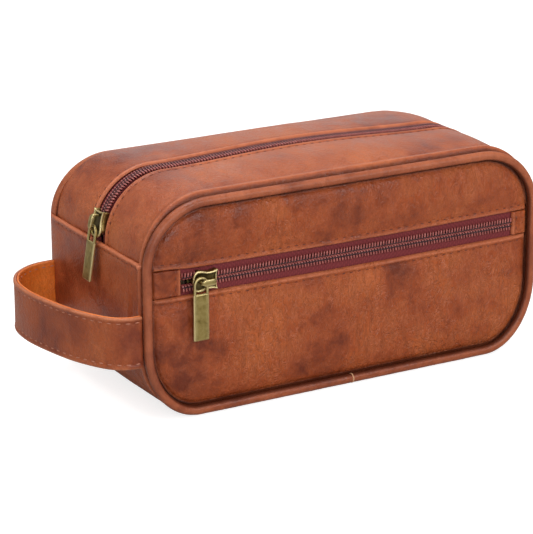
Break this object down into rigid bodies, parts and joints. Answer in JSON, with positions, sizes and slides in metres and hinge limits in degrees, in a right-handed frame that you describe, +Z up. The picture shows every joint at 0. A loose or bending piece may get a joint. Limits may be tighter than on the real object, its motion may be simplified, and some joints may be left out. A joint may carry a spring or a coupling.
{
  "type": "shaving kit bag",
  "caption": "Soft leather wash bag with a zip over the top, a zipped front pocket, corded piping round both faces and a strap handle on one end.",
  "frame": {"origin": "middle of the bag's bottom face, on the surface it stands on", "axes": "+X along the bag to the plain end, away from the handle; -Y the front with the pocket; +Z up"},
  "size_m": [0.3013, 0.1283, 0.1326],
  "materials": {
    "cognac_leather": "smooth, semi-gloss, mottled",
    "dark_cognac_leather": "smooth, semi-gloss",
    "pale_leather": "smooth, matt",
    "zip_tape": "woven",
    "zip_teeth": "satin coil",
    "antique_brass": "antique, brushed",
    "lining_cloth": "woven",
    "padding_foam": "soft foam",
    "stiffener_board": "matt",
    "cotton_cord": "twisted cord"
  },
  "bodies": {
    "bag": {"side_gusset": "cognac_leather", "top_strip_front": "cognac_leather", "top_strip_back": "cognac_leather", "front_panel_upper": "cognac_leather", "front_panel_lower": "cognac_leather", "back_panel": "cognac_leather", "front_tab_left": "dark_cognac_leather", "front_tab_right": "dark_cognac_leather", "front_piping_cover": "dark_cognac_leather", "front_piping_cord": "cotton_cord", "back_piping_cover": "dark_cognac_leather", "back_piping_cord": "cotton_cord", "main_tape_front": "zip_tape", "main_tape_back": "zip_tape", "main_coil_front": "zip_teeth", "main_coil_back": "zip_teeth", "front_tape_upper": "zip_tape", "front_tape_lower": "zip_tape", "front_coil_upper": "zip_teeth", "front_coil_lower": "zip_teeth", "handle_outer": "cognac_leather", "handle_inner": "pale_leather", "pocket_wall": "lining_cloth", "padding_front": "padding_foam", "lining_front": "lining_cloth", "padding_back": "padding_foam", "lining_back": "lining_cloth", "lining_body": "lining_cloth", "lining_top_front": "lining_cloth", "lining_top_back": "lining_cloth", "bottom_board": "stiffener_board"},
    "main_slider": {"main_slider_body": "antique_brass", "main_slider_crown": "antique_brass"},
    "main_pull": {"main_pull": "antique_brass"},
    "front_slider": {"front_slider_body": "antique_brass", "front_slider_crown": "antique_brass"},
    "front_pull": {"front_pull": "antique_brass"}
  },
  "joints": [
    {"name": "main_slider_travel", "type": "hinge", "parent": "bag", "child": "main_slider", "pos_m": [-0.0911, 0, 0.092], "axis": [0, 1, 0], "range_deg": [0, 71.5], "deforming": ["main_coil_front", "main_coil_back"]},
    {"name": "main_pull_swing", "type": "hinge", "parent": "main_slider", "child": "main_pull", "pos_m": [-0.13122, 0, 0.10029], "axis": [0, 1, 0], "range_deg": [0, 165]},
    {"name": "front_slider_travel", "type": "slide", "parent": "bag", "child": "front_slider", "axis": [1, 0, 0], "range_m": [0, 0.1986], "deforming": ["front_coil_upper", "front_coil_lower"]},
    {"name": "front_pull_swing", "type": "hinge", "parent": "front_slider", "child": "front_pull", "pos_m": [-0.0977, -0.0634, 0.079], "axis": [0, 1, 0], "range_deg": [-35, 120]}
  ]
}
